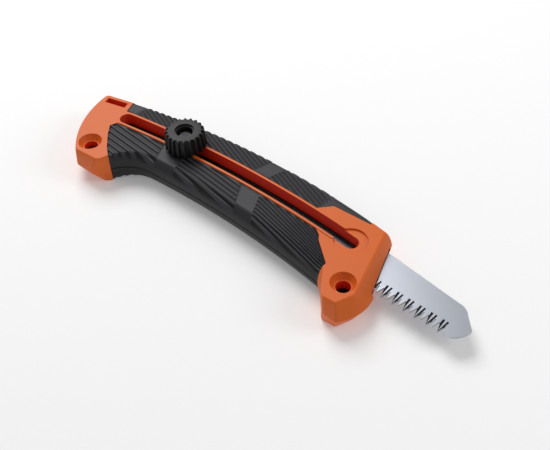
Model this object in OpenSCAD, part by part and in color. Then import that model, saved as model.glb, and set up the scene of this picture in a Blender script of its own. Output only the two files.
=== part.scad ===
// Retractable drywall saw. It lies on its back face: +X runs from the butt to the blade's nose,
// +Y to the spine and +Z up through the locking knob. The origin is on the back face.

/* [Blade slot] */
// Radius of the curved slot that the carriage follows
slot_r = 660; // [600:5:720]
// Where the slot ends at the knob's front seat, along the handle
seat_x = 60; // [58:0.5:62]
// Where the slot ends at the knob's front seat, across the handle
seat_y = 10; // [9:0.5:11]
// Width of the slot
slot_w = 8; // [7.6:0.1:8.4]
// How far the carriage turns about the slot's centre from its place at rest to the front seat
travel_out = 9.8; // [8:0.1:9.8]
// How far it turns from its place at rest to the rear end
travel_in = 3.7; // [2:0.1:3.7]

/* [Handle] */
// Thickness of the closed handle
handle_t = 18; // [17:0.5:20]
// Wall thickness of the two shells
wall = 2.2; // [1.8:0.1:2.4]
// Thickness of the soft grip over the shells
grip_t = 1.6; // [1.2:0.1:1.8]
// Width of the raised lip along each side of the slot
lip_w = 1.4; // [1:0.1:1.6]

/* [Blade] */
// Thickness of the blade
blade_t = 1.2; // [1:0.1:1.4]
// Distance between two teeth that lean the same way
tooth_pitch = 6.35; // [5:0.05:8]
// Depth of the teeth
tooth_h = 5.6; // [4:0.1:6]

/* [Locking knob] */
// Diameter over the ribs at the top
knob_d = 21.6; // [18:0.1:22]
// Height of the knob
knob_h = 10.2; // [9:0.1:12]
// Number of finger ribs
knob_ribs = 20; // [16:1:24]
// Thread diameter of the clamp bolt
bolt_d = 5; // [4:0.5:5]

/* [Hidden] */

mid = handle_t / 2;
seat_turn = 2;
slot_c = [seat_x - slot_r * sin(seat_turn), seat_y - slot_r * cos(seat_turn)];
rest_turn = seat_turn - travel_out;
rear_turn = rest_turn - travel_in;
stud = slot_point(slot_r, rest_turn);
lip_top = handle_t + 0.4;
orange = [0.90, 0.47, 0.26];
soft_black = [0.16, 0.16, 0.18];
steel = [0.78, 0.79, 0.82];
nylon_black = [0.08, 0.08, 0.09];

// A point at radius r and turn a (degrees, forward of straight up) about the slot's centre
function slot_point(r, a) = slot_c + r * [sin(a), cos(a)];

// ---- outlines: each corner is [x, y, fillet radius, roundness of the edge there] ----
parting_corners = [
  [-122.4, 6.6, 2.4, 0.8], [-28.6, 34.4, 500, 1], [71.1, 29.5, 4, 0.7], [90.2, -12.6, 21, 0],
  [83, -27.4, 2, 0], [74.3, -27.2, 3, 0.2], [61.3, -15, 8, 1], [-0.8, -10.1, 560, 1],
  [-71.6, -19.2, 22, 1], [-82.3, -39.2, 3.5, 0.4], [-95.3, -39.8, 3, 0.2], [-117.8, -21.6, 60, 0.8]];
face_corners = [
  [-120.2, 3.2, 2], [-28.6, 28.9, 500], [68.6, 25, 1.5], [83, -15, 3],
  [79.7, -24, 1], [71.5, -25, 3], [58.5, -8.2, 6], [-0.8, -4.6, 560],
  [-74.5, -14.5, 22], [-80.5, -35.3, 3], [-96.6, -38, 2], [-116, -21, 60]];
arc_steps = [2, 10, 3, 5, 2, 2, 3, 9, 4, 2, 2, 5];
corner_count = len(arc_steps);

function unit(v) = v / norm(v);
function xy(p) = [p[0], p[1]];
function turn_of(u, v) = u[0] * v[1] - u[1] * v[0];
// Points of the fillet at corner p between its neighbours a and b
function fillet(a, p, b, r, n) =
  let (u = unit(a - p), v = unit(b - p))
  let (half = acos(max(-1, min(1, u * v))) / 2)
  let (c = p + unit(u + v) * r / sin(half))
  let (s = p + u * r / tan(half), e = p + v * r / tan(half))
  let (a0 = atan2(s[1] - c[1], s[0] - c[0]), a1 = atan2(e[1] - c[1], e[0] - c[0]))
  let (d = a1 - a0, sweep = d > 180 ? d - 360 : (d < -180 ? d + 360 : d))
  [for (k = [0:n]) c + r * [cos(a0 + sweep * k / n), sin(a0 + sweep * k / n)]];
// All the points of a rounded outline
function ring(corners) =
  let (m = len(corners))
  [for (i = [0:m - 1]) each fillet(xy(corners[(i + m - 1) % m]), xy(corners[i]),
                                   xy(corners[(i + 1) % m]), corners[i][2], arc_steps[i])];
// The same corners moved inward by d, with their fillets tightened or widened to match
function inset_corner(a, p, b, d) =
  let (u = unit(xy(a) - xy(p)), v = unit(xy(b) - xy(p)))
  let (half = acos(max(-1, min(1, u * v))) / 2)
  let (side = turn_of(-u, v) < 0 ? 1 : -1)
  let (q = xy(p) + side * unit(u + v) * d / sin(half))
  [q[0], q[1], max(0.4, p[2] - side * d)];
function inset(corners, d) =
  let (m = len(corners))
  [for (i = [0:m - 1]) inset_corner(corners[(i + m - 1) % m], corners[i], corners[(i + 1) % m], d)];

parting_ring = ring(parting_corners);
face_ring = ring(face_corners);
roundness = [for (i = [0:corner_count - 1]) for (k = [0:arc_steps[i]]) parting_corners[i][3]];

// How far the edge has come in at a share t of the half's height, for a roundness w
function edge_in(t, w) = w * (1 - sqrt(max(0, 1 - t * t))) + (1 - w) * t;
function outline_at(t) = [for (i = [0:len(parting_ring) - 1])
  parting_ring[i] + (face_ring[i] - parting_ring[i]) * edge_in(t, roundness[i])];

// Solid half handle, from the parting plane at z = 0 up to its face. Its sides run past both
// planes and are cut off there, so that each plane is one clean face.
over = 0.1;
levels = [0, 0.45, 0.8, 1];
module half_body() {
  inner = [for (q = levels) outline_at(q)];
  below = inner[0] + (inner[0] - inner[1]) * over / (levels[1] - levels[0]);
  above = inner[3] + (inner[3] - inner[2]) * over / (levels[3] - levels[2]);
  rings = [below, inner[1], inner[2], above];
  heights = [-over, levels[1], levels[2], 1 + over] * mid;
  m = len(parting_ring);
  n = len(rings);
  points = [for (j = [0:n - 1]) for (p = rings[j]) [p[0], p[1], heights[j]]];
  sides = [for (j = [0:n - 2]) for (i = [0:m - 1]) each
    [[j * m + i, j * m + (i + 1) % m, (j + 1) * m + i],
     [j * m + (i + 1) % m, (j + 1) * m + (i + 1) % m, (j + 1) * m + i]]];
  bottom = [[for (i = [m - 1:-1:0]) i]];
  top = [[for (i = [0:m - 1]) (n - 1) * m + i]];
  intersection() {
    polyhedron(points, concat(bottom, sides, top), convexity = 8);
    translate([-150, -60, 0]) cube([300, 120, mid]);
  }
}
// A straight-sided block inside the outline, inset by d
module inner_block(d, z0, z1) {
  translate([0, 0, z0]) linear_extrude(z1 - z0) polygon(ring(inset(parting_corners, d)));
}

// ---- slot shapes ----
// Points along the slot's arc, out mm outside its centre line, from turn a0 to a1
function slot_side(out, a0, a1, n) = [for (k = [0:n]) slot_point(slot_r + out, a0 + k * (a1 - a0) / n)];
// Points of a round end at turn a, on the side that faces forward (1) or back (-1)
function round_end(w, a, side) = [for (k = [1:15])
  slot_point(slot_r, a) + w / 2 * [sin(a + k * 180 / 16 + (side < 0 ? 180 : 0)),
                                   cos(a + k * 180 / 16 + (side < 0 ? 180 : 0))]];
arc_parts = 24;
// A band along the slot's arc from turn a0 to a1, w wide, cut square at its ends
module arc_band(w, a0, a1, z0, z1) {
  translate([0, 0, z0]) linear_extrude(z1 - z0)
    polygon(concat(slot_side(w / 2, a0, a1, arc_parts), slot_side(-w / 2, a1, a0, arc_parts)));
}
// The same band with round ends
module arc_strip(w, a0, a1, z0, z1) {
  translate([0, 0, z0]) linear_extrude(z1 - z0)
    polygon(concat(slot_side(w / 2, a0, a1, arc_parts), round_end(w, a1, 1),
                   slot_side(-w / 2, a1, a0, arc_parts), round_end(w, a0, -1)));
}
// Moves its children to the clamp stud at rest, turned along the slot
module at_stud() {
  translate([stud[0], stud[1], 0]) rotate([0, 0, -rest_turn]) children();
}
// Mirrors its children from the face half into the back half
module other_half() {
  translate([0, 0, handle_t]) mirror([0, 0, 1]) children();
}

// ---- regions of the soft grip, as seen from the face ----
// Each leaves a strip bare along the slot, out mm to each side of its centre line
lip_out = slot_w / 2 + lip_w;
back_bare = 7.6;
function palm_region(out) = concat(slot_side(-out, -11.75, 0.4, 8),
  [[45.6, 2.9], [47.7, 0.2], [60.4, -8.8], [60.9, -27], [-60, -43], [-66, -38.1],
   [-84.5, -25.6], [-92.9, -18.1], [-97.8, -12.6]]);
function spine_region(out) = concat(slot_side(out, -11.9, -0.4, 8),
  [[38, 22.6], [60, 25], [60, 45], [-120, 45], [-105.2, 14.4]]);

// The stiff core that the soft grip is moulded over, in two steps under the rounded edge
core_in = [1.8, 3.7];
core_h = [4.4, mid - grip_t];
module grip_core(gap) {
  inner_block(core_in[0] + gap, -1, core_h[0] - gap);
  inner_block(core_in[1] + gap, -1, core_h[1] - gap);
}
module grip_skin(region) {
  difference() {
    intersection() {
      half_body();
      translate([0, 0, -1]) linear_extrude(mid * 2) polygon(region);
    }
    grip_core(0);
  }
}

// ---- shells ----
guard_hole = [74.2, -12.2];
butt_hole = [-95.3, -28.6];
case_holes = [guard_hole, butt_hole];
hole_d = 7.6;
seat_r = 8.7;
seat_depth = 1;
bowl_d = 13;
bowl_depth = 3.4;
bowl_floor_d = 8.6;
// how much wider the bowl's cone gets in the last millimetre, above the face
bowl_flare = (bowl_d - bowl_floor_d) / bowl_depth;
case_screw_d = 4;
spigot_d = 10.6;
spigot_end = 4.4;
case_web = 1.6;
nut_af = 7;
nut_depth = 3.1;
back_screw_at = [[-111.5, -9.5], [71.8, -20.6]];
window = [-110.6, 2.6];
window_turn = 17.5;
window_size = [13.4, 4];
mouth_lo = -3.8;
mouth_hi = 24.9;
mouth_half = 1.7;
guide_x = [60.5, 70];
guide_h = 2.4;
channel_in = 3.4;
channel_h = 1.1;
channel_rear = -84;
rib_low = 2.3;
plate_slot_w = 12.4;
plate_slot_h = 3.4;

module window_cut() {
  translate([window[0], window[1], -1]) rotate([0, 0, window_turn])
    translate([-window_size[0] / 2, -window_size[1] / 2, 0])
      cube([window_size[0], window_size[1], handle_t]);
}
// The hollow, from the butt to the back of the guard, with a shallow channel for the blade's edges.
// Ribs reach down into it beside the slot, and bosses stand in it around the screws.
module hollow(rib_out) {
  difference() {
    union() {
      inner_block(core_in[1] + wall, -1, core_h[1] - wall);
      intersection() {
        inner_block(channel_in, -2, channel_h);
        translate([channel_rear, -40, -4]) cube([200, 46, mid]);
      }
    }
    translate([seat_x + 6, -40, -3]) cube([60, 90, handle_t]);
    translate([each butt_hole, -3]) cylinder(d = 13, h = handle_t, $fn = 48);
    translate([each back_screw_at[0], -3]) cylinder(d = 6.6, h = handle_t, $fn = 32);
    arc_band(2 * rib_out, rear_turn + 0.2, seat_turn + 0.6, rib_low, handle_t);
  }
}
module slot_cut() { arc_strip(slot_w, rear_turn, seat_turn, -1, handle_t + 1); }
module half_shell(bare, rib_out) {
  difference() {
    difference() {
      half_body();
      hollow(rib_out);
    }
    for (region = [palm_region(bare), spine_region(bare)]) difference() {
      translate([0, 0, -1]) linear_extrude(mid * 2) polygon(region);
      grip_core(0.02);
    }
    window_cut();
    // the blade's way out through the mouth, with a pocket for the guide on each side of it
    translate([40, mouth_lo, -1]) cube([60, mouth_hi - mouth_lo, mouth_half + 1]);
    translate([guide_x[0], mouth_lo - guide_h, -3])
      cube([guide_x[1] - guide_x[0], mouth_hi - mouth_lo + 2 * guide_h, mouth_half + 3]);
  }
}
module face_shell() {
  color(orange) difference() {
    union() {
      translate([0, 0, mid]) half_shell(lip_out, lip_out);
      // raised lips along the slot
      arc_strip(2 * lip_out - 0.3, rear_turn, seat_turn - 0.8, handle_t - grip_t - 0.5, lip_top);
      // tubes around the case screws, which plug into the back shell
      for (p = case_holes) translate([each p, spigot_end]) cylinder(d = spigot_d, h = mid, $fn = 48);
    }
    slot_cut();
    // the knob's round front seat
    translate([seat_x, seat_y, handle_t - seat_depth]) cylinder(r = seat_r, h = 2, $fn = 64);
    for (p = case_holes) translate([each p, 0]) {
      translate([0, 0, handle_t - bowl_depth])
        cylinder(d1 = bowl_floor_d, d2 = bowl_d + bowl_flare, h = bowl_depth + 1, $fn = 48);
      translate([0, 0, spigot_end + case_web]) cylinder(d = hole_d, h = handle_t, $fn = 48);
      cylinder(d = case_screw_d + 0.4, h = mid, $fn = 32);
    }
    for (p = back_screw_at) translate([each p, mid - 1]) cylinder(d = 2.9, h = 5, $fn = 32);
  }
}
// Under the butt the back slopes in from the parting plane. Each slope has a line along the
// outline that it starts from, how far in it reaches at the back face, and its length.
butt_corner = [-82.63, -38.83];
butt_slopes = [
  [xy(parting_corners[9]), xy(parting_corners[10]), 6.2, [-20, 50]],
  [xy(parting_corners[10]), xy(parting_corners[11]), 3.9, [-20, 50]],
  [butt_corner, butt_corner - [7.45, 6.67], 3.6, [-14, 40]]];

module butt_slope_cut() {
  for (s = butt_slopes)
    translate([each s[0], 0]) rotate([0, 0, atan2(s[1][1] - s[0][1], s[1][0] - s[0][0])]) rotate([90, 0, 90])
      translate([0, 0, s[3][0]]) linear_extrude(s[3][1] - s[3][0])
        polygon([[0.35, mid], [-s[2], 0], [-s[2] - s[2] / mid, -1], [20, -1], [20, mid]]);
}

module back_shell() {
  color(orange) difference() {
    other_half() translate([0, 0, mid]) half_shell(back_bare, plate_slot_w / 2 + 1.2);
    slot_cut();
    // wider slot for the bolt's plate
    arc_strip(plate_slot_w, rear_turn, seat_turn, -1, plate_slot_h);
    for (p = case_holes) translate([each p, 0]) {
      translate([0, 0, spigot_end - 0.1]) cylinder(d = spigot_d + 0.3, h = mid, $fn = 48);
      translate([0, 0, -1]) cylinder(d = case_screw_d + 0.4, h = mid, $fn = 32);
      translate([0, 0, -1]) cylinder(d = (nut_af + 0.2) / cos(30), h = nut_depth + 1, $fn = 6);
    }
    for (p = back_screw_at) translate([each p, -1]) {
      cylinder(d = 3, h = mid + 2, $fn = 32);
      cylinder(d = 5.8, h = 3.4, $fn = 32);
    }
    // on this side the lanyard window opens through the spine edge
    translate([window[0], window[1], -2]) rotate([0, 0, window_turn])
      translate([-window_size[0] / 2, 0, 0]) cube([window_size[0], 14, mid + 1.5]);
    butt_slope_cut();
  }
}
module palm_grip_face() { color(soft_black) translate([0, 0, mid]) grip_skin(palm_region(lip_out)); }
module spine_grip_face() { color(soft_black) translate([0, 0, mid]) grip_skin(spine_region(lip_out)); }
module palm_grip_back() {
  color(soft_black) difference() {
    other_half() translate([0, 0, mid]) grip_skin(palm_region(back_bare));
    butt_slope_cut();
  }
}
module spine_grip_back() {
  color(soft_black) other_half() translate([0, 0, mid]) grip_skin(spine_region(back_bare));
}

// ---- inside the handle ----
track_w = 20;
track_gap = 0.35;
track_z = [mid + blade_t / 2 + track_gap, mid + rib_low - 0.1];
track_turns = [-11.95, 2.4];
// A flat liner with its own narrower slot, lying between the blade and the ribs. Its edges and
// its slot are true arcs, so they show the axis that the carriage turns about.
module track() {
  far = slot_r * 1.2;
  h = track_z[1] - track_z[0];
  slot_half = bolt_d / 2 + 0.4;
  color(nylon_black) difference() {
    intersection() {
      translate([each slot_c, track_z[0]]) difference() {
        cylinder(r = slot_r + track_w / 2, h = h, $fn = 360);
        translate([0, 0, -1]) cylinder(r = slot_r - track_w / 2, h = h + 2, $fn = 360);
      }
      translate([each slot_c, mid]) linear_extrude(mid)
        polygon([[0, 0], for (a = track_turns) far * [sin(a), cos(a)]]);
    }
    intersection() {
      translate([each slot_c, mid]) difference() {
        cylinder(r = slot_r + slot_half, h = mid, $fn = 360);
        translate([0, 0, -1]) cylinder(r = slot_r - slot_half, h = mid + 2, $fn = 360);
      }
      translate([each slot_c, mid - 1]) linear_extrude(mid)
        polygon([[0, 0], for (a = [rear_turn, seat_turn]) far * [sin(a), cos(a)]]);
    }
    for (a = [rear_turn, seat_turn]) translate([each slot_point(slot_r, a), mid])
      cylinder(r = slot_half, h = mid, $fn = 48);
  }
}
module face_track() { track(); }
module back_track() { other_half() track(); }

// A nylon block that keeps the blade in line where it leaves the mouth
module mouth_guide(y) {
  color(nylon_black) translate([guide_x[0] + 0.1, y, mid - mouth_half + 0.1])
    cube([guide_x[1] - guide_x[0] - 0.2, guide_h - 0.1, 2 * mouth_half - 0.2]);
}
module mouth_guide_spine() { mouth_guide(mouth_hi); }
module mouth_guide_palm() { mouth_guide(mouth_lo - guide_h + 0.1); }

// ---- fasteners ----
dark_steel = [0.22, 0.22, 0.24];
// Socket-head screws at the bottom of the two deep holes
module case_screws() {
  head_z = spigot_end + case_web;
  color(dark_steel) for (p = case_holes) translate([each p, 0]) difference() {
    union() {
      translate([0, 0, 0.4]) cylinder(d = case_screw_d, h = head_z, $fn = 32);
      translate([0, 0, head_z]) cylinder(d = 7, h = 3.4, $fn = 48);
    }
    translate([0, 0, head_z + 1.4]) cylinder(d = 3.46, h = 4, $fn = 6);
  }
}
module case_nuts() {
  color(dark_steel) for (p = case_holes) translate([each p, 0.2]) difference() {
    cylinder(d = nut_af / cos(30), h = nut_depth - 0.2, $fn = 6);
    translate([0, 0, -1]) cylinder(d = case_screw_d + 0.1, h = 6, $fn = 32);
  }
}
// Small self-tapping screws, put in from the back
module back_screws() {
  color(dark_steel) for (p = back_screw_at) translate([each p, 0]) difference() {
    union() {
      translate([0, 0, 0.5]) cylinder(d = 5.4, h = 1.9, $fn = 32);
      translate([0, 0, 2]) cylinder(d = 2.8, h = 10.5, $fn = 32);
    }
    for (a = [0, 90]) rotate([0, 0, a]) translate([-1.6, -0.35, 0]) cube([3.2, 0.7, 1.3]);
  }
}

// ---- clamp and carriage, all on the stud's axis ----
clear = 0.3;
bore_gap = 0.1;
bush_d = slot_w - 2 * clear;
bush_end = track_z[1] + clear;
module stud_tube(d, z0, z1, bore) {
  at_stud() translate([0, 0, z0]) difference() {
    cylinder(d = d, h = z1 - z0, $fn = 48);
    translate([0, 0, -1]) cylinder(d = bore, h = z1 - z0 + 2, $fn = 48);
  }
}
module face_slot_bush() { color(nylon_black) stud_tube(bush_d, bush_end, lip_top, bolt_d + bore_gap); }
plate_z = [plate_slot_h - clear - 1, plate_slot_h - clear];
module back_slot_bush() {
  color(nylon_black) stud_tube(bush_d, plate_z[1], handle_t - bush_end, bolt_d + bore_gap);
}
module bolt_plate() {
  color(steel) stud_tube(plate_slot_w - 1, plate_z[0], plate_z[1], bolt_d + bore_gap);
}
bolt_top = lip_top + 7.3;
module clamp_bolt() {
  color(dark_steel) at_stud() difference() {
    union() {
      translate([0, 0, 0.5]) cylinder(d = 9, h = plate_z[0] - 0.5, $fn = 48);
      translate([0, 0, 0.8]) cylinder(d = bolt_d, h = bolt_top - 0.8, $fn = 48);
    }
    cylinder(d = 3.46, h = 1.7, $fn = 6);
  }
}
pivot_d = 8;
module pivot_bush() {
  half = blade_t / 2 + 0.05;
  color(steel) stud_tube(pivot_d, mid - half, mid + half, bolt_d + bore_gap);
}

// ---- blade ----
tooth_rise = 0.042;
first_tooth = [120.2, -0.4];
tooth_pairs = 24;
shank_h = 8.6;
function tooth_line(x, up) = [x, first_tooth[1] - (first_tooth[0] - x) * tooth_rise + up];
// Each pair holds a long tooth and a short one, with a narrow gullet between them
function tooth_pair(k) = let (x = first_tooth[0] - k * tooth_pitch)
  [tooth_line(x, 0), tooth_line(x - 2.1, tooth_h), tooth_line(x - 3.4, 1.2), tooth_line(x - 4.6, tooth_h)];
function arc_points(c, r, a0, a1, n) =
  [for (k = [0:n]) let (a = a0 + (a1 - a0) * k / n) c + r * [cos(a), sin(a)]];
module saw_blade() {
  teeth = [for (k = [0:tooth_pairs - 1]) each tooth_pair(k)];
  tooth_end = first_tooth[0] - tooth_pairs * tooth_pitch;
  nose = concat([[-40, stud[1] + shank_h], [-24, 20.4], [75.4, 22.3], [117.4, 19.7]],
    arc_points([118.6, 11.2], 8.6, 96, 38, 6), [[130.6, 11.6], [132.1, 9.6], [130.3, 5.2]],
    [[127, 1.2], [123.6, 0.3], [122.4, 1.4], [121.4, 4.6]]);
  color(steel) difference() {
    translate([0, 0, mid - blade_t / 2]) linear_extrude(blade_t)
      polygon(concat(nose, teeth, [tooth_line(tooth_end, 1), [-42, stud[1] - shank_h],
        [-60, stud[1] - shank_h], [-63, stud[1] - shank_h + 3], [-63, stud[1] + shank_h - 3],
        [-60, stud[1] + shank_h]]));
    translate([stud[0], stud[1], 0]) cylinder(d = pivot_d + 0.1, h = handle_t, $fn = 48);
  }
}

// ---- locking knob ----
knob_z = lip_top + clear;
washer_d = 17;
washer_t = 0.9;
module clamp_washer() { color(steel) stud_tube(washer_d, knob_z, knob_z + washer_t, bolt_d + bore_gap); }
knob_base_d = knob_d + 1.6;
recess_d = 10.6;
recess_step = 1.1;
rib_r = 1.05;
rib_lean = atan((knob_base_d - knob_d) / 2 / knob_h);
insert_af = 8;
insert_z = [washer_t + clear + 0.4, 6];
module locking_knob() {
  color(soft_black) at_stud() translate([0, 0, knob_z]) difference() {
    union() {
      cylinder(d1 = knob_base_d - 2 * rib_r, d2 = knob_d - 2 * rib_r, h = knob_h, $fn = 96);
      for (k = [0:knob_ribs - 1]) rotate([0, 0, k * 360 / knob_ribs])
        translate([knob_base_d / 2 - rib_r, 0, 0.2]) rotate([0, -rib_lean, 0])
          cylinder(r = rib_r, h = knob_h - 0.5, $fn = 24);
    }
    // the stepped recess in the top
    translate([0, 0, knob_h - recess_step]) cylinder(d = recess_d, h = 5, $fn = 64);
    translate([0, 0, insert_z[1]]) cylinder(d = recess_d - 2, h = knob_h, $fn = 64);
    // room for the washer below, and the threaded insert's pocket
    translate([0, 0, -1]) cylinder(d = washer_d + 2 * clear, h = washer_t + clear + 1, $fn = 64);
    translate([0, 0, 0]) cylinder(d = insert_af / cos(30), h = knob_h - 2, $fn = 6);
  }
}
module knob_insert() {
  color([0.76, 0.62, 0.3]) at_stud() translate([0, 0, knob_z + insert_z[0]]) difference() {
    cylinder(d = insert_af / cos(30), h = insert_z[1] - insert_z[0], $fn = 6);
    translate([0, 0, -1]) cylinder(d = bolt_d + 0.06, h = 10, $fn = 48);
  }
}

face_shell();
back_shell();
palm_grip_face();
spine_grip_face();
palm_grip_back();
spine_grip_back();
face_track();
back_track();
mouth_guide_spine();
mouth_guide_palm();
case_screws();
case_nuts();
back_screws();
face_slot_bush();
back_slot_bush();
clamp_bolt();
bolt_plate();
pivot_bush();
saw_blade();
clamp_washer();
locking_knob();
knob_insert();
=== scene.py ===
# %% [markdown]
# # A retractable drywall saw
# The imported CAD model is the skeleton: it gives every piece its place and its joint. Around it
# this file makes the skins and finishes that a person sees: moulded orange shells, a ribbed
# rubber grip, a knurled knob and a ground steel blade. Lengths below are in millimetres and are
# turned into metres only where a mesh is made.

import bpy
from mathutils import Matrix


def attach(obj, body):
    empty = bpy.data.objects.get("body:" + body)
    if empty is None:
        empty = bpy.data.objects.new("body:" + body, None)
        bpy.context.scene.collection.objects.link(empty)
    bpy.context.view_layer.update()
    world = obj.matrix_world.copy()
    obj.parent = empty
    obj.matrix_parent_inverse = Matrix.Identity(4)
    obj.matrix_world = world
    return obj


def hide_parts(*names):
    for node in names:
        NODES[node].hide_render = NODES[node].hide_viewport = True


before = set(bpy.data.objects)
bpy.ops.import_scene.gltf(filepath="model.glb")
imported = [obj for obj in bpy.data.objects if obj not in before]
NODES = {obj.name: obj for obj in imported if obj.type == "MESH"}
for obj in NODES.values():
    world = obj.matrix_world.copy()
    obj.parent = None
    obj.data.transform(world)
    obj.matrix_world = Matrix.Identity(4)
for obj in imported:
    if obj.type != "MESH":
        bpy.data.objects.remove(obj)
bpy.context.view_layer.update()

# %% [markdown]
# Blender works in metres, so one factor turns every length of this file into metres.

# %% Modules and units
import math

import bmesh
import bpy
import numpy as np
from mathutils import Matrix, Vector

MM = 0.001

# %% [markdown]
# ## Camera
# The saw lies on its back and is seen from above its blade and guard, a little rolled, with a
# moderately long lens so that the far end hardly shrinks.

# %% Camera
CAMERA_AT = Vector((246.79, -221.35, 340.74)) * MM
CAMERA_RIGHT = Vector((0.72144, 0.69153, -0.03618))
CAMERA_UP = Vector((-0.48241, 0.53938, 0.69018))
LENS = 58.9

camera = bpy.data.objects.new("camera", bpy.data.cameras.new("camera"))
bpy.context.scene.collection.objects.link(camera)
back = CAMERA_RIGHT.cross(CAMERA_UP)
camera.matrix_world = Matrix.Translation(CAMERA_AT) @ Matrix(
    (CAMERA_RIGHT, CAMERA_UP, back)).transposed().to_4x4()
camera.data.lens = LENS
camera.data.clip_start = 0.01
bpy.context.scene.camera = camera
print("camera", [round(v, 4) for v in camera.location])

# %% [markdown]
# ## Floor and light
# A pale table, and soft boxes such as a product studio uses. The big one hangs behind the spine,
# so the face is bright and the palm side falls into shade.

# %% Colour and node helpers
def linear(code, alpha=1.0):
    """The linear colour of an sRGB hex code."""
    channels = [int(code[i:i + 2], 16) / 255 for i in (1, 3, 5)]
    return [c / 12.92 if c <= 0.04045 else ((c + 0.055) / 1.055) ** 2.4 for c in channels] + [alpha]


def add(tree, kind, links=None, **settings):
    """Adds a node with its settings, and links other nodes' outputs to its inputs."""
    node = tree.nodes.new(kind)
    for key, value in settings.items():
        name = key.replace("_", " ")
        sockets = {s.name.lower(): s for s in node.inputs}
        if hasattr(node, key):
            setattr(node, key, value)
        else:
            sockets[name].default_value = value
    for name, output in (links or {}).items():
        tree.links.new(output, node.inputs[name])
    return node


# %% [markdown]
# The table is one large pale sheet just under the part, so that no gap shows. It glows very faintly,
# which stands for the light that a white room throws back on it. The three soft boxes are the key
# from behind the spine, a weak rim light and a weak fill from the front.

# %% Floor and lights
FLOOR_SIZE = 6000
floor_mesh = bpy.data.meshes.new("table")
half = FLOOR_SIZE / 2 * MM
floor_mesh.from_pydata([(-half, -half, 0), (half, -half, 0), (half, half, 0), (-half, half, 0)],
                       [], [(0, 1, 2, 3)])
floor = bpy.data.objects.new("table", floor_mesh)
floor.location.z = -0.05 * MM
bpy.context.scene.collection.objects.link(floor)
floor_look = bpy.data.materials.new("white laminate")
floor_look.use_nodes = True
floor_shader = floor_look.node_tree.nodes["Principled BSDF"]
floor_shader.inputs["Base Color"].default_value = linear("#F4F4F4")
floor_shader.inputs["Roughness"].default_value = 0.9
floor_shader.inputs["Emission Color"].default_value = linear("#FFFFFF")
floor_shader.inputs["Emission Strength"].default_value = 0.16
floor_mesh.materials.append(floor_look)

bpy.context.scene.view_settings.view_transform = "Standard"
world = bpy.data.worlds.new("studio")
bpy.context.scene.world = world
world.use_nodes = True
world.node_tree.nodes["Background"].inputs["Color"].default_value = linear("#F7F7F7")
world.node_tree.nodes["Background"].inputs["Strength"].default_value = 0.32


def soft_box(name, at, aim, size, watts):
    light = bpy.data.lights.new(name, "AREA")
    light.shape = "RECTANGLE"
    light.size, light.size_y, light.energy = size[0], size[1], watts
    lamp = bpy.data.objects.new(name, light)
    lamp.location = at
    lamp.rotation_euler = (Vector(aim) - Vector(at)).to_track_quat("-Z", "Y").to_euler()
    bpy.context.scene.collection.objects.link(lamp)


soft_box("key", (-0.8, 0.35, 1.05), (0, 0, 0), (0.8, 0.8), 12)
soft_box("rim", (0.75, 0.55, 0.6), (0.05, 0, 0), (0.5, 0.5), 2.5)
soft_box("front fill", (0.1, -1.0, 0.7), (0, 0, 0), (1.0, 0.6), 0.3)

# %% [markdown]
# ## The handle's outline
# The two shells meet at a parting plane half way through the handle, which is the widest place.
# From there the sides close in to the flat face: round along the grip, straight and drafted at
# the guard and the butt. One list of corners gives the outline at the parting plane and one gives
# the outline of the face; each corner is a place, a fillet radius and, for the first list, how
# round the edge is there.

# %% Outline corners
THICK = 18.0
MID = THICK / 2
PARTING = [(-122.4, 6.6, 2.4, 0.8), (-28.6, 34.4, 500, 1), (71.1, 29.5, 4, 0.7), (90.2, -12.6, 21, 0),
           (83, -27.4, 2, 0), (74.3, -27.2, 3, 0.2), (61.3, -15, 8, 1), (-0.8, -10.1, 560, 1),
           (-71.6, -19.2, 22, 1), (-82.3, -39.2, 3.5, 0.4), (-95.3, -39.8, 3, 0.2),
           (-117.8, -21.6, 60, 0.8)]
FACE = [(-120.2, 3.2, 2), (-28.6, 28.9, 500), (68.6, 25, 1.5), (83, -15, 3), (79.7, -24, 1),
        (71.5, -25, 3), (58.5, -8.2, 6), (-0.8, -4.6, 560), (-74.5, -14.5, 22), (-80.5, -35.3, 3),
        (-96.6, -38, 2), (-116, -21, 60)]
ARC_STEPS = [8, 40, 10, 20, 6, 8, 10, 40, 14, 8, 8, 20]


def fillet(a, p, b, radius, steps):
    a, p, b = (np.array(v[:2], float) for v in (a, p, b))
    u, v = (a - p) / np.linalg.norm(a - p), (b - p) / np.linalg.norm(b - p)
    half_angle = math.acos(max(-1, min(1, u @ v))) / 2
    centre = p + (u + v) / np.linalg.norm(u + v) * radius / math.sin(half_angle)
    start, end = (p + w * radius / math.tan(half_angle) for w in (u, v))
    a0 = math.atan2(*(start - centre)[::-1])
    sweep = (math.atan2(*(end - centre)[::-1]) - a0 + math.pi) % (2 * math.pi) - math.pi
    return [centre + radius * np.array((math.cos(a0 + sweep * k / steps), math.sin(a0 + sweep * k / steps)))
            for k in range(steps + 1)]


def outline(corners):
    count = len(corners)
    ring = []
    for i, corner in enumerate(corners):
        ring += fillet(corners[i - 1], corner, corners[(i + 1) % count], corner[2], ARC_STEPS[i])
    return np.array(ring)


def inset(corners, depth):
    """The corners moved inward, with their fillets changed to match."""
    moved = []
    for i, corner in enumerate(corners):
        a, p, b = (np.array(c[:2], float) for c in (corners[i - 1], corner, corners[(i + 1) % len(corners)]))
        u, v = (a - p) / np.linalg.norm(a - p), (b - p) / np.linalg.norm(b - p)
        half_angle = math.acos(max(-1, min(1, u @ v))) / 2
        side = 1 if (-u[0] * v[1] + u[1] * v[0]) < 0 else -1
        q = p + side * (u + v) / np.linalg.norm(u + v) * depth / math.sin(half_angle)
        moved.append((q[0], q[1], max(0.4, corner[2] - side * depth)))
    return moved


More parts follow.
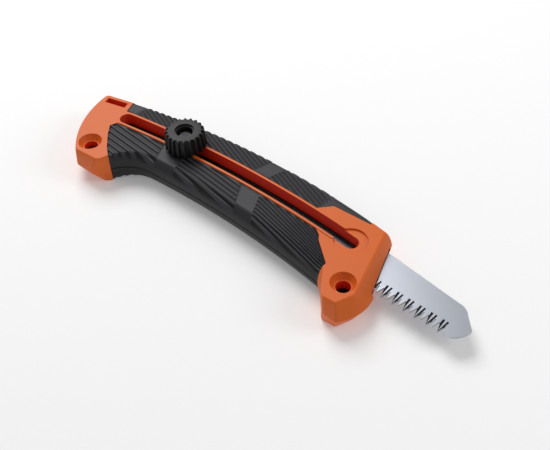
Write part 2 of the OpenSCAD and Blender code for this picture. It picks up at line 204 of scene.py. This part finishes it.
# Fine arcs bulge a little past the coarser ones they follow, so the rings are drawn a hair inside.
parting_ring, face_ring = outline(inset(PARTING, 0.05)), outline(inset(FACE, 0.05))
roundness = np.array([PARTING[i][3] for i, n in enumerate(ARC_STEPS) for _ in range(n + 1)])[:, None]
print("outline points", len(parting_ring))

# %% [markdown]
# ## Half a handle
# Stacked rings make the side of one half. The rings are closer together near the face, where a
# rounded edge turns fastest. Where the side is a flat draft instead, its last stretch is rolled
# over with a small radius, because a moulded edge is never quite sharp.

# %% Mesh helpers
def mesh_object(name, points, faces):
    """A new object from points in millimetres."""
    mesh = bpy.data.meshes.new(name)
    mesh.from_pydata([tuple(float(c) * MM for c in p) for p in points], [], faces)
    mesh.validate()
    made = bpy.data.objects.new(name, mesh)
    bpy.context.scene.collection.objects.link(made)
    return made


def face_out(item):
    """Joins doubled points and turns every face outward."""
    solid = bmesh.new()
    solid.from_mesh(item.data)
    bmesh.ops.remove_doubles(solid, verts=solid.verts, dist=1e-7)
    bmesh.ops.recalc_face_normals(solid, faces=solid.faces)
    solid.to_mesh(item.data)
    solid.free()
    return item


def stack(name, rings, heights):
    """A closed solid through rings of points, one above another."""
    count = len(rings[0])
    points = [(x, y, z) for ring, z in zip(rings, heights) for x, y in ring]
    faces = []
    for j in range(len(rings) - 1):
        for i in range(count):
            after = (i + 1) % count
            faces.append((j * count + i, j * count + after, (j + 1) * count + after, (j + 1) * count + i))
    faces += [tuple(range(count))[::-1], tuple((len(rings) - 1) * count + i for i in range(count))]
    return face_out(mesh_object(name, points, faces))


def prism(name, polygon, z0, z1):
    return stack(name, [polygon, polygon], [z0, z1])


def bake(item):
    """Turns an object's modifiers into its mesh."""
    graph = bpy.context.evaluated_depsgraph_get()
    graph.update()
    item.data = bpy.data.meshes.new_from_object(item.evaluated_get(graph))
    item.modifiers.clear()
    return item


def combine(item, tool, operation):
    """Cuts, joins or intersects item with tool, and uses the tool up."""
    boolean = item.modifiers.new(operation, "BOOLEAN")
    boolean.operation, boolean.solver, boolean.object = operation, "EXACT", tool
    bake(item)
    bpy.data.objects.remove(tool)
    return item


def disc(radius, centre, steps=64):
    return [(centre[0] + radius * math.cos(2 * math.pi * k / steps),
             centre[1] + radius * math.sin(2 * math.pi * k / steps)) for k in range(steps)]


def flip(item):
    """Turns a face half into a back half."""
    item.data.transform(Matrix.Translation((0, 0, THICK * MM)) @ Matrix.Scale(-1, 4, (0, 0, 1)))
    item.data.flip_normals()
    return item


# %% [markdown]
# The rings share the outline's points, so a half body is a plain stack. Each ring is a blend between
# the two outlines: a quarter circle where the edge is round, and a straight line where it is drafted.

# %% Half body
LEVELS = 16
ROLLED = 0.7      # radius of the rolled edge above a flat draft
inward = face_ring - parting_ring
inward_unit = inward / np.linalg.norm(inward, axis=1, keepdims=True)


def ring_at(t):
    round_in = roundness * (1 - math.sqrt(max(0, 1 - t * t))) + (1 - roundness) * t
    start = 1 - ROLLED / MID
    roll = 0 if t <= start else ROLLED * (1 - math.sqrt(max(0, 1 - ((t - start) / (1 - start)) ** 2)))
    return parting_ring + inward * round_in + inward_unit * roll * (1 - roundness)


def half_body(name):
    shares = sorted({math.sin(math.pi / 2 * k / LEVELS) for k in range(LEVELS + 1)}
                    | {1 - ROLLED / MID * (1 - k / 4) for k in range(4)})
    return stack(name, [ring_at(t) for t in shares], [MID + t * MID for t in shares])


# %% [markdown]
# ## The slot
# The knob slides along an arc about a point far below the handle. Working in that arc's own
# terms, how far along it and how far out from its centre line, keeps every slot, lip and rib
# parallel to it.

# %% Slot arc
SLOT_R = 660.0
SEAT = np.array((60.0, 10.0))
SEAT_TURN = math.radians(2)
SLOT_C = SEAT - SLOT_R * np.array((math.sin(SEAT_TURN), math.cos(SEAT_TURN)))
REST_TURN = SEAT_TURN - math.radians(9.8)
REAR_TURN = REST_TURN - math.radians(3.7)


def on_arc(turn, out=0.0):
    return SLOT_C + (SLOT_R + out) * np.array((math.sin(turn), math.cos(turn)))


STUD = on_arc(REST_TURN)


def arc_side(out, a0, a1, steps=60):
    return [on_arc(a0 + (a1 - a0) * k / steps, out) for k in range(steps + 1)]


def round_end(width, turn, forward):
    flip_by = 0 if forward else math.pi
    return [on_arc(turn) + width / 2 * np.array((math.sin(turn + flip_by + math.pi * k / 24),
                                                 math.cos(turn + flip_by + math.pi * k / 24)))
            for k in range(1, 24)]


def slot_shape(width, a0=REAR_TURN, a1=SEAT_TURN):
    return (arc_side(width / 2, a0, a1) + round_end(width, a1, True)
            + arc_side(-width / 2, a1, a0) + round_end(width, a0, False))


print("stud at rest", STUD.round(2))

# %% [markdown]
# ## Orange shells
# Each shell is one injection moulding in ABS. It starts as half a handle, and everything that the
# mould's cores leave open is cut away: the slot, the recess that the rubber fills, the screw wells
# with their bowls, the lanyard window and the mouth. Cutting solids is the plain way to get the
# clean creases such a moulding has; a narrow bevel then rounds each crease enough to catch light.

# %% Shell sizes
LIP_OUT, LIP_PROUD = 5.4, 0.4
GRIP_LINE = 0.25   # the fine gap where rubber meets plastic
CORE = [(1.9, 0, 4.4), (4.0, 4.3, 7.3)]   # inset, and from and to what height above the parting plane
GUARD_HOLE, BUTT_HOLE = (74.2, -12.2), (-95.3, -28.6)
WELL_R, TUBE_R, SHANK_HOLE_R, NUT_R = 3.8, 5.3, 2.2, 4.16
# The bowl round a well: a radius, and how far below the face it is reached.
BOWL = [(4.3, 3.4), (4.55, 3.2), (5.0, 2.6), (5.6, 1.7), (6.2, 0.7), (6.5, 0), (7.0, -1)]
WINDOW, WINDOW_TURN, WINDOW_SIZE = (-110.6, 2.6), math.radians(17.5), (13.4, 4.0)
MOUTH = (-3.8, 24.9)
BACK_SCREWS = [(-111.5, -9.5), (71.8, -20.6)]
BACK_BARE = 7.6


def core_steps(low):
    """The hard core that stays under the rubber, as solids."""
    return [prism("core", outline(inset(PARTING, depth)), MID + (start if start else -low), MID + end)
            for depth, start, end in CORE]


def degrees_side(out, a0, a1):
    return [tuple(p) for p in arc_side(out, math.radians(a0), math.radians(a1), 24)]


def palm_region(bare):
    return degrees_side(-bare, -11.75, 0.4) + [
        (45.6, 2.9), (47.7, 0.2), (60.4, -8.8), (60.9, -27), (-60, -43), (-66, -38.1),
        (-84.5, -25.6), (-92.9, -18.1), (-97.8, -12.6)]


def spine_region(bare):
    return degrees_side(bare, -11.9, -0.4) + [(38, 22.6), (60, 25), (60, 45), (-120, 45), (-105.2, 14.4)]


def window_shape(extra):
    c, s = math.cos(WINDOW_TURN), math.sin(WINDOW_TURN)
    w, h = WINDOW_SIZE[0] / 2, WINDOW_SIZE[1] / 2
    return [(WINDOW[0] + u * c - v * s, WINDOW[1] + u * s + v * c)
            for u, v in ((-w, -h), (w, -h), (w, h + extra), (-w, h + extra))]


# %% [markdown]
# Both shells go through the same steps, as both are drawn from one half body: recesses for the rubber
# first, then the lips, the hollow, the channel for the blade, the slot, the window and the mouth.

# %% Shell builder
def shell(name, bare, back):
    made = half_body(name)
    for region in (palm_region(bare), spine_region(bare)):
        cutter = prism("cutter", region, MID - 1, THICK + 1)
        for core in core_steps(2):
            combine(cutter, core, "DIFFERENCE")
        combine(made, cutter, "DIFFERENCE")
    if not back:
        combine(made, prism("lips", slot_shape(2 * LIP_OUT - 0.3, a1=SEAT_TURN - math.radians(0.8)),
                            THICK - 2.1, THICK + LIP_PROUD), "UNION")
    hollow = [p for p in outline(inset(PARTING, 5.9)) if p[0] < 66]
    combine(made, prism("hollow", hollow, MID - 1, MID + 2.3), "DIFFERENCE")
    channel = prism("blade channel", outline(inset(PARTING, 3.4)), MID - 1, MID + 1.1)
    reach = prism("reach", [(-84, -60), (66, -60), (66, 6), (-84, 6)], MID - 2, MID + 2)
    combine(channel, reach, "INTERSECT")
    combine(made, channel, "DIFFERENCE")
    combine(made, prism("slot", slot_shape(8), MID - 1, THICK + 2), "DIFFERENCE")
    if not back:
        combine(made, prism("seat", disc(8.7, SEAT, 96), THICK - 1, THICK + 2), "DIFFERENCE")
    combine(made, prism("window", window_shape(14 if back else 0), MID - 1, THICK + 1), "DIFFERENCE")
    combine(made, prism("mouth", [(40, MOUTH[0]), (100, MOUTH[0]), (100, MOUTH[1]), (40, MOUTH[1])],
                        MID - 1, MID + 1.7), "DIFFERENCE")
    return made


BUTT_CORNER = (-82.63, -38.83)
BUTT_SLOPES = [(PARTING[9][:2], PARTING[10][:2], 6.2, (-20, 50)),
               (PARTING[10][:2], PARTING[11][:2], 3.9, (-20, 50)),
               (BUTT_CORNER, (BUTT_CORNER[0] - 7.45, BUTT_CORNER[1] - 6.67), 3.6, (-14, 40))]


def cut_butt_slopes(item):
    """Slopes the back in under the butt: a line to start from, the reach at the face, the length."""
    for a, b, reach, span in BUTT_SLOPES:
        a, b = np.array(a), np.array(b)
        along = (b - a) / np.linalg.norm(b - a)
        out = np.array((-along[1], along[0]))
        profile = [(0.35, MID), (-reach, THICK), (-reach - reach / MID, THICK + 1),
                   (20, THICK + 1), (20, MID)]
        points = [(*(a + along * s + out * d), z) for s in span for d, z in profile]
        sides = [(k, 5 + k, 5 + (k + 1) % 5, (k + 1) % 5) for k in range(5)]
        slope = mesh_object("slope", points, [(0, 1, 2, 3, 4), (9, 8, 7, 6, 5)] + sides)
        combine(item, face_out(slope), "DIFFERENCE")


# %% [markdown]
# The face half carries the screw wells. Each is a bowl with a rounded flank, a bore down to the
# screw's seat, and a tube that reaches down into the other half and lines the two up.

# %% Face shell
face_shell = shell("face_shell_moulding", LIP_OUT, False)
for hole in (GUARD_HOLE, BUTT_HOLE):
    bowl = stack("bowl", [disc(r, hole) for r, _ in BOWL], [THICK - depth for _, depth in BOWL])
    combine(face_shell, bowl, "DIFFERENCE")
    combine(face_shell, prism("tube", disc(TUBE_R, hole), 4.4, MID + 1), "UNION")
    combine(face_shell, prism("well", disc(WELL_R, hole), 6, THICK + 1), "DIFFERENCE")
    combine(face_shell, prism("shank hole", disc(SHANK_HOLE_R, hole), 3, 7), "DIFFERENCE")
print("face shell", len(face_shell.data.polygons), "faces")

# %% [markdown]
# The back half has a wider slot for the bolt's plate, a six-sided pocket for each nut, and two small
# screws of its own. Under the butt it slopes in. It is made face up and then turned over.

# %% Back shell
back_shell = shell("back_shell_moulding", BACK_BARE, True)
combine(back_shell, prism("plate slot", slot_shape(12.4), THICK - 3.4, THICK + 1), "DIFFERENCE")
for hole in (GUARD_HOLE, BUTT_HOLE):
    nut = disc(NUT_R, hole, 6)
    combine(back_shell, prism("nut pocket", nut, THICK - 3.1, THICK + 1), "DIFFERENCE")
    combine(back_shell, prism("socket", disc(TUBE_R + 0.15, hole), MID - 1, THICK - 4.3), "DIFFERENCE")
    combine(back_shell, prism("shank hole", disc(SHANK_HOLE_R, hole), MID, THICK), "DIFFERENCE")
cut_butt_slopes(back_shell)
for hole in BACK_SCREWS:
    combine(back_shell, prism("screw head", disc(2.9, hole, 32), THICK - 2.4, THICK + 1), "DIFFERENCE")
    combine(back_shell, prism("screw hole", disc(1.5, hole, 32), MID - 1, THICK), "DIFFERENCE")
flip(back_shell)
print("back shell", len(back_shell.data.polygons), "faces")

# %% [markdown]
# No moulded edge is sharp. A narrow bevel on every crease catches a thin line of light, as the real
# edges do, and the shading is kept even on both sides of it.

# %% Round the creases
CREASE = 0.28


def round_creases(item, width=CREASE, angle=32):
    solid = bmesh.new()
    solid.from_mesh(item.data)
    bmesh.ops.remove_doubles(solid, verts=solid.verts, dist=0.02 * MM)
    bmesh.ops.dissolve_degenerate(solid, edges=solid.edges, dist=0.01 * MM)
    solid.to_mesh(item.data)
    solid.free()
    bevel = item.modifiers.new("creases", "BEVEL")
    bevel.width, bevel.segments, bevel.limit_method = width * MM, 2, "ANGLE"
    bevel.angle_limit = math.radians(angle)
    bevel.use_clamp_overlap = True
    bake(item)
    smooth(item, angle)
    # Large flat faces keep their own direction, so that no shading creeps in from their edges.
    even = item.modifiers.new("flat faces", "WEIGHTED_NORMAL")
    even.keep_sharp, even.weight = True, 80
    bake(item)


def smooth(item, angle=35):
    item.data.polygons.foreach_set("use_smooth", [True] * len(item.data.polygons))
    item.data.set_sharp_from_angle(angle=math.radians(angle))


for item in (face_shell, back_shell):
    round_creases(item)

# %% [markdown]
# ## Rubber grips
# A soft rubber is moulded over the hard shell in a second shot. It follows the half body's own
# surface, stands in the recess left for it, and carries ribs across the grip so that a dusty hand
# doesn't slip. The ribs come in zones with smooth bands between, where the fingers part, and they
# fade into the rounded side. The rubber is built as a very fine skin, and each of its points is
# then raised by the height that the rib pattern has at that place.

# %% Rib pattern
def smoothstep(value, low, high):
    t = np.clip((value - low) / (high - low), 0, 1)
    return t * t * (3 - 2 * t)


def beyond(points, line, soft=0.8):
    """1 to the right of a line from its upper point to its lower one, 0 to the left."""
    p, q = np.array(line[0]), np.array(line[1])
    d = (q - p) / np.linalg.norm(q - p)
    normal = np.array((-d[1], d[0]))
    return smoothstep((points - p) @ normal, -soft / 2, soft / 2)


def arc_terms(points):
    """How far along the slot's arc, and how far out from it, each point is."""
    offset = points - SLOT_C
    return SLOT_R * np.arctan2(offset[:, 0], offset[:, 1]), np.linalg.norm(offset, axis=1) - SLOT_R


def ribs(phase):
    """Rounded ribs with narrower grooves, 0 to 1."""
    wave = 0.5 + 0.5 * np.cos(2 * math.pi * phase)
    return smoothstep(wave, 0.3, 0.9)


BAND_1 = (((-60.6, -7.3), (-56.8, -15.9)), ((-46.0, -4.9), (-43.8, -12.7)))
BAND_2 = (((-5.0, -2.9), (0.4, -12.0)), ((6.3, 0.2), (11.2, -9.4)))


FAN_HUB, FAN_STEP = (126, -22), 0.0171   # where the front ribs would meet, and the angle between two
BAND_LEVEL = 0.55                         # how high the smooth bands stand among the ribs


def palm_ribs(points):
    """Rib height, 0 to 1, over the palm grip."""
    x, y = points[:, 0], points[:, 1]
    rear = 1 - beyond(points, BAND_1[0])
    middle = beyond(points, BAND_1[1]) * (1 - beyond(points, BAND_2[0]))
    front = beyond(points, BAND_2[1])
    fan = np.arctan2(y - FAN_HUB[1], FAN_HUB[0] - x) / FAN_STEP
    return (rear * ribs((y + 0.02 * x + 14.0) / 3.4) + middle * ribs((y + 0.05 * x + 6.8) / 2.7)
            + front * ribs(fan) + (1 - rear - middle - front) * BAND_LEVEL)


def spine_ribs(points):
    """Rib height, 0 to 1, over the spine grip."""
    x, y = points[:, 0], points[:, 1]
    slanted = ribs((y + 0.31 * x - 20.9) / 2.3)
    smooth_patch = beyond(points, ((-8.5, 26), (-11.5, 15))) * (1 - beyond(points, ((1.5, 26), (-1.5, 15))))
    ends = (1 - smoothstep(x, 31, 35)) * smoothstep(x, -96, -92)
    ribbed = (1 - smooth_patch) * ends
    return slanted * ribbed + (1 - ribbed) * BAND_LEVEL


# %% [markdown]
# A voxel skin gives points close enough together to carry the ribs as real relief, so they show in
# the outline and cast shadows. The back grips are hardly seen and get a coarser skin.

# %% Grip builder
RIB_HEIGHT = 0.75
VOXEL = 0.3


def grip(name, region, out, pattern, back):
    """The rubber between the shell's recess and the handle's outer skin, with its ribs."""
    made = half_body(name)
    combine(made, prism("region", region, MID + 0.1, THICK + 2), "INTERSECT")
    for core in core_steps(2):
        combine(made, core, "DIFFERENCE")
    if back:
        cut_butt_slopes(made)
    remesh = made.modifiers.new("skin", "REMESH")
    remesh.mode, remesh.voxel_size = "VOXEL", (VOXEL if not back else VOXEL * 2) * MM
    remesh.adaptivity = 0
    bake(made)
    mesh = made.data
    count = len(mesh.vertices)
    points, normals = np.empty(count * 3), np.empty(count * 3)
    mesh.vertices.foreach_get("co", points)
    mesh.vertices.foreach_get("normal", normals)
    points, normals = points.reshape(-1, 3) / MM, normals.reshape(-1, 3)
    plan = points[:, :2]
    # Only the outer skin is ribbed: it looks up, or out from the middle of the handle.
    upward = smoothstep(normals[:, 2], 0.15, 0.75)
    fade = (7.0, 8.6) if back else (2.0, 6.0)
    high = smoothstep(points[:, 2], MID + fade[0], MID + fade[1])
    s, q = arc_terms(plan)
    margin = smoothstep(np.abs(q), abs(out) + 0.5, abs(out) + 1.1)
    height = (pattern(plan) * margin + (1 - margin)) * upward * high
    # The skin itself is lowered by the ribs' height, so that the crests stand where the skin was.
    outer = upward * high
    points += normals * ((height - outer) * RIB_HEIGHT)[:, None]
    mesh.vertices.foreach_set("co", (points * MM).ravel())
    # The crest attribute carries the rib height to the rubber's colour: painted highlight on the crests,
    # painted shade in the grooves.
    crest = mesh.attributes.new("crest", "FLOAT", "POINT")
    crest.data.foreach_set("value", (height + (1 - outer) * 0.3).astype(np.float32))
    mesh.update()
    if back:
        flip(made)
    smooth(made, 60)
    return made


grips = {}
for node, region, out, pattern, back in (
        ("palm_grip_face", palm_region(LIP_OUT + GRIP_LINE), -LIP_OUT, palm_ribs, False),
        ("spine_grip_face", spine_region(LIP_OUT + GRIP_LINE), LIP_OUT, spine_ribs, False),
        ("palm_grip_back", palm_region(BACK_BARE + GRIP_LINE), -BACK_BARE, palm_ribs, True),
        ("spine_grip_back", spine_region(BACK_BARE + GRIP_LINE), BACK_BARE, spine_ribs, True)):
    grips[node] = grip(node + "_rubber", region, out, pattern, back)
    print(node, len(grips[node].data.vertices), "points")

# %% [markdown]
# ## Knob
# The locking knob is a moulded cap whose skirt widens downward. Twenty fins run up its side, each
# a thin rounded rib rather than a simple knurl, so that wet fingers can turn it. Its top is
# stepped down in the middle towards the brass insert. Rings from the skirt up over the rim and down
# into the recess make it in one go; the underside, which the handle hides, is drawn plain.

# %% Knob
KNOB_LOW, KNOB_HIGH = 18.7, 28.9
FINS = 20
knob_steps = FINS * 24


def knob_ring(core, fin):
    """A circle with narrow round fins standing on it."""
    ring = []
    for k in range(knob_steps):
        turn = 2 * math.pi * k / knob_steps
        share = (turn * FINS / (2 * math.pi)) % 1 - 0.5
        radius = core + fin * math.sqrt(max(0, 1 - (abs(share) / 0.24) ** 2))
        ring.append((STUD[0] + radius * math.cos(turn), STUD[1] + radius * math.sin(turn)))
    return ring


knob_profile = [(KNOB_LOW, knob_ring(10.1, 1.1)), (KNOB_LOW + 0.2, knob_ring(10.1, 1.4)),
                (KNOB_LOW + 3, knob_ring(9.85, 1.45)), (KNOB_HIGH - 0.9, knob_ring(9.3, 1.5)),
                (KNOB_HIGH - 0.45, knob_ring(9.25, 1.35)), (KNOB_HIGH - 0.2, knob_ring(9.1, 1.0)),
                (KNOB_HIGH - 0.05, knob_ring(9.0, 0.4)), (KNOB_HIGH, knob_ring(8.8, 0)),
                (KNOB_HIGH, knob_ring(5.3, 0)), (KNOB_HIGH - 0.2, knob_ring(5.15, 0)),
                (KNOB_HIGH - 1.0, knob_ring(5.1, 0)), (KNOB_HIGH - 1.1, knob_ring(4.55, 0)),
                (KNOB_HIGH - 1.35, knob_ring(4.35, 0)), (24.75, knob_ring(4.3, 0))]
knob = stack("locking_knob_cap", [ring for _, ring in knob_profile], [z for z, _ in knob_profile])
combine(knob, prism("bolt hole", disc(2.75, STUD), KNOB_LOW - 1, 26), "DIFFERENCE")
smooth(knob, 38)
print("knob", len(knob.data.polygons), "faces")

# %% [markdown]
# ## Blade
# The blade is cut from hardened strip. Its teeth come in pairs, a long one and a short one, with a
# deep gullet after each pair. The outline is one list: the back and the nose are a few corners and
# an arc, and a loop sets the teeth out along a line that drops a little towards the handle.

# %% Blade outline
BLADE_Z = (8.4, 9.6)
SHANK_R = 8.6      # half the shank's width, and the radius of its rounded end
PITCH, TOOTH_H, PAIRS = 6.35, 5.6, 24
FIRST_TOOTH, TOOTH_SLOPE = (120.2, -0.4), 0.042


def tooth_point(pair, dx, dy):
    return (FIRST_TOOTH[0] - pair * PITCH - dx,
            FIRST_TOOTH[1] - TOOTH_SLOPE * (pair * PITCH + dx) + dy)


shoulder = [(118.6 + 8.6 * math.cos(math.radians(96 - 58 * k / 20)),
             11.2 + 8.6 * math.sin(math.radians(96 - 58 * k / 20))) for k in range(21)]
nose = [(130.6, 11.6), (131.6, 10.8), (132.1, 9.6), (131.4, 7.4), (130.3, 5.2), (128.8, 3.0), (127, 1.2),
        (125.4, 0.5), (123.6, 0.3), (122.9, 0.7), (122.4, 1.4), (121.8, 3.1), (121.4, 4.6)]

# %% [markdown]
# The plate is the outline given the strip's thickness, with the hole for the stud.

# %% Blade plate
outline_points = [(-24, 20.4), (75.4, 22.3)] + shoulder + nose
for pair in range(PAIRS):
    outline_points += [tooth_point(pair, 0, 0), tooth_point(pair, 2.1, TOOTH_H),
                       tooth_point(pair, 3.4, 1.2), tooth_point(pair, 4.6, TOOTH_H)]
last = tooth_point(PAIRS, 0, 4.6)
outline_points += [last]
tang = [(STUD[0] + SHANK_R * math.cos(math.radians(a)), STUD[1] + SHANK_R * math.sin(math.radians(a)))
        for a in range(270, 89, -6)]
outline_points += [(-40, STUD[1] - SHANK_R)] + tang + [(-40, STUD[1] + SHANK_R)]
blade = prism("saw_blade_ground", outline_points, *BLADE_Z)
combine(blade, prism("pivot hole", disc(4.05, STUD), BLADE_Z[0] - 1, BLADE_Z[1] + 1), "DIFFERENCE")
print("blade", len(blade.data.polygons), "faces")

# %% [markdown]
# A facet is ground by a wheel that crosses the tooth's flank at an angle. The long teeth are ground
# from the upper face and the short ones from the lower face, so in the light one of each pair looks
# black and the other bright. Taking a long thin wedge off the plate along each flank does what the
# wheel does, and leaves its straight run-out above the gullet.

# %% Ground facets
GROUND_SLOPE = 0.5     # depth gained for each millimetre across the facet


def wedge(points, faces, foot, top, width, side, upper_face):
    """Adds a wedge whose sloping side meets the plate's face along the line foot to top."""
    surface, up = (BLADE_Z[1], 1) if upper_face else (BLADE_Z[0], -1)
    foot, top = np.array(foot), np.array(top)
    along = (top - foot) / np.linalg.norm(top - foot)
    across = np.array((-along[1], along[0])) * side
    first, rise = len(points), 0.4
    for end in (foot - along * 0.5, top):
        points.append((*(end - across * rise / GROUND_SLOPE), surface + up * rise))
        points.append((*(end + across * width), surface + up * rise))
        points.append((*(end + across * width), surface - up * GROUND_SLOPE * width))
    faces += [(first + a, first + b, first + c) for a, b, c in ((0, 1, 2), (3, 5, 4))]
    faces += [tuple(first + k for k in quad) for quad in ((0, 3, 4, 1), (1, 4, 5, 2), (2, 5, 3, 0))]


for upper_face, (dx, dy) in ((True, (0, 0)), (False, (3.4, 1.2))):
    for side, lean, width in ((1, 1.0, 1.15), (-1, -0.25, 1.0)):
        points, faces = [], []
        for pair in range(PAIRS):
            wedge(points, faces, tooth_point(pair, dx, dy), tooth_point(pair, dx + lean, 7.8),
                  width, side, upper_face)
        combine(blade, face_out(mesh_object("grinding wheel", points, faces)), "DIFFERENCE")
print("ground blade", len(blade.data.polygons), "faces")

# %% [markdown]
# ## Finishes
# Every finish is named for the real material and the process that gave it its surface; the dark facet steel
# is painted shade, and the deep red of the slot walls is painted bounced light.
# Two small functions make all finishes: one sets a plain shader, and the other adds the fine relief
# and the uneven gloss that every real surface has.

# %% Finish helper
def finish(name, colour, roughness, metal=0.0, **settings):
    """A named material with its shader, ready for more nodes."""
    made = bpy.data.materials.new(name)
    made.use_nodes = True
    shader = made.node_tree.nodes["Principled BSDF"]
    shader.inputs["Base Color"].default_value = linear(colour)
    shader.inputs["Roughness"].default_value = roughness
    shader.inputs["Metallic"].default_value = metal
    for key, value in settings.items():
        shader.inputs[key.replace("_", " ")].default_value = value
    return made, made.node_tree, shader


def grain(tree, shader, size, height, roughness=None, stretch=None):
    """Fine random relief: size is its spacing and height its depth, both in millimetres."""
    place = add(tree, "ShaderNodeTexCoord").outputs["Object"]
    if stretch:
        place = add(tree, "ShaderNodeMapping", {"Vector": place}, scale=stretch).outputs["Vector"]
    noise = add(tree, "ShaderNodeTexNoise", {"Vector": place}, scale=1 / (size * MM), detail=3.0)
    bump = add(tree, "ShaderNodeBump", {"Height": noise.outputs[0]}, strength=0.6, distance=height * MM)
    tree.links.new(bump.outputs["Normal"], shader.inputs["Normal"])
    if roughness:
        spread = add(tree, "ShaderNodeMapRange", {"Value": noise.outputs[0]})
        spread.inputs["To Min"].default_value, spread.inputs["To Max"].default_value = roughness
        tree.links.new(spread.outputs["Result"], shader.inputs["Roughness"])
    return noise


# %% [markdown]
# Injection-moulded ABS: a strong orange with a very fine spark-eroded texture, so it shines softly
# and never mirrors.

# %% Orange ABS
orange, tree, shader = finish("injection-moulded ABS, spark-eroded texture", "#E0671C", 0.46,
                              Specular_IOR_Level=0.35)
grain(tree, shader, 0.35, 0.02, (0.42, 0.52))

# %% [markdown]
# Thermoplastic rubber: almost black. The colour follows the height of the ribs: grey on the crests, which is
# a painted highlight with a little handling polish, and black in the grooves, which is painted shade.

# %% Rubber
rubber, tree, shader = finish("overmoulded thermoplastic rubber, matt", "#17171A", 0.5,
                              Specular_IOR_Level=0.32)
grain(tree, shader, 0.5, 0.03, (0.42, 0.56))
# Painted highlight on the rib crests and painted shade in the grooves, mixed by the crest attribute.
crest = add(tree, "ShaderNodeAttribute", attribute_name="crest")
painted_rib_light = add(tree, "ShaderNodeMix", {"Factor": crest.outputs["Fac"]}, data_type="RGBA")
painted_rib_light.inputs[6].default_value, painted_rib_light.inputs[7].default_value = linear("#060607"), linear("#3A3A40")
tree.links.new(painted_rib_light.outputs[2], shader.inputs["Base Color"])

# %% [markdown]
# Glass-filled nylon for the tracks and bushes: black.

# %% Nylon
nylon, tree, shader = finish("glass-filled nylon, as moulded", "#0B0B0C", 0.6, Specular_IOR_Level=0.3)
grain(tree, shader, 0.4, 0.02, (0.42, 0.6))

# %% [markdown]
# Screws are steel blackened in hot oxide and oiled; the nuts, bolt and washer are zinc plated,
# which is brighter and faintly blue; the insert is turned brass.

# %% Fixings
black_steel, tree, shader = finish("steel, hot black oxide", "#2A2A2D", 0.38, 1.0)
grain(tree, shader, 0.3, 0.01, (0.32, 0.46))
zinc_steel, tree, shader = finish("steel, clear zinc plate", "#C4C8CE", 0.3, 1.0)
grain(tree, shader, 0.6, 0.01, (0.24, 0.38))
brass, tree, shader = finish("brass, turned", "#C9A35A", 0.28, 1.0)
grain(tree, shader, 0.5, 0.01, (0.22, 0.36))

# %% [markdown]
# The blade is rolled and then belt ground along its length, so its grain is drawn out into long fine lines.
# Its ground facets face away from the light, and their nearly black colour is painted shade.

# %% Blade steel
blade_steel, tree, shader = finish("hardened steel strip, belt ground", "#B9BDC6", 0.36, 1.0)
grain(tree, shader, 0.3, 0.01, (0.28, 0.42), stretch=(0.02, 1.0, 1.0))
# The facet steel's nearly black colour is painted shade.
facet_painted_shade, tree, shader = finish("hardened steel, wheel-ground facet, painted shade", "#0C0C0E", 0.42, 0.6)
grain(tree, shader, 0.2, 0.01, (0.36, 0.5))

# %% [markdown]
# The knob is glass-filled nylon as well, dark grey.

# %% Knob plastic
knob_plastic, tree, shader = finish("glass-filled nylon, dark grey", "#0D0D0F", 0.4, Specular_IOR_Level=0.4)
grain(tree, shader, 0.4, 0.02, (0.44, 0.58))

# %% [markdown]
# The tracks, guides, bushes and fixings are mostly hidden, and their CAD shape is already right. They
# only get the finish of their own material, through the slots that the frame gives them.

# %% Give each CAD node its finish
by_slot = {"orange_abs": orange, "grip_rubber": rubber, "nylon": nylon, "black_steel": black_steel,
           "zinc_steel": zinc_steel, "blade_steel": blade_steel, "knob_plastic": knob_plastic, "brass": brass}
for name, node in NODES.items():
    for place in node.material_slots:
        slot_name = place.material.name.split(".")[0]
        place.material = by_slot[slot_name]
print("finishes", sorted(m.name for m in bpy.data.materials if m.users))

# %% [markdown]
# Deep in a narrow slot the light has bounced from orange to orange several times before it comes
# out, so the walls look a deep red. The faces of the slot, the wells and the window get a finish
# of the same plastic in that colour.

# %% Deep walls
deep_orange, tree, shader = finish("injection-moulded ABS, deep in a slot", "#E23A10", 0.5)
grain(tree, shader, 0.35, 0.02, (0.46, 0.56))


def mark_deep(item):
    """Gives the deep finish to upright faces in the slot, the wells and the window."""
    item.data.materials.append(deep_orange)
    centres = np.array([face.center[:] for face in item.data.polygons]) / MM
    level = np.array([abs(face.normal.z) for face in item.data.polygons]) < 0.5
    along_arc, out = arc_terms(centres[:, :2])
    deep = (np.abs(out) < 4.15) & (centres[:, 0] < 64.5) & (centres[:, 0] > -102)
    for hole in (GUARD_HOLE, BUTT_HOLE):
        deep |= np.hypot(*(centres[:, :2] - hole).T) < 3.95
    c, s = math.cos(WINDOW_TURN), math.sin(WINDOW_TURN)
    turn = np.array(((c, s), (-s, c)))
    place = np.abs((centres[:, :2] - WINDOW) @ turn.T)
    deep |= (place[:, 0] < WINDOW_SIZE[0] / 2 + 0.1) & (place[:, 1] < WINDOW_SIZE[1] / 2 + 0.1)
    item.data.polygons.foreach_set("material_index", (deep & level).astype(np.int32))


# %% [markdown]
# Each skin takes the place of one CAD node and rides on the same body, so it moves with its joint.
# On the blade, faces that lean are the ground facets and get the darker steel, which is painted shade.

# %% Put the skins in place
def dress(item, node, body, look):
    item.data.materials.clear()
    item.data.materials.append(look)
    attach(item, body)
    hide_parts(node)


dress(face_shell, "face_shell", "handle", orange)
dress(back_shell, "back_shell", "handle", orange)
mark_deep(face_shell)
mark_deep(back_shell)
for node, item in grips.items():
    dress(item, node, "handle", rubber)
dress(knob, "locking_knob", "knob", knob_plastic)
dress(blade, "saw_blade", "blade", blade_steel)
# The ground facets take the facet steel's painted shade.
blade.data.materials.append(facet_painted_shade)
for face in blade.data.polygons:
    if 0.4 < abs(face.normal.z) < 0.985:
        face.material_index = 1
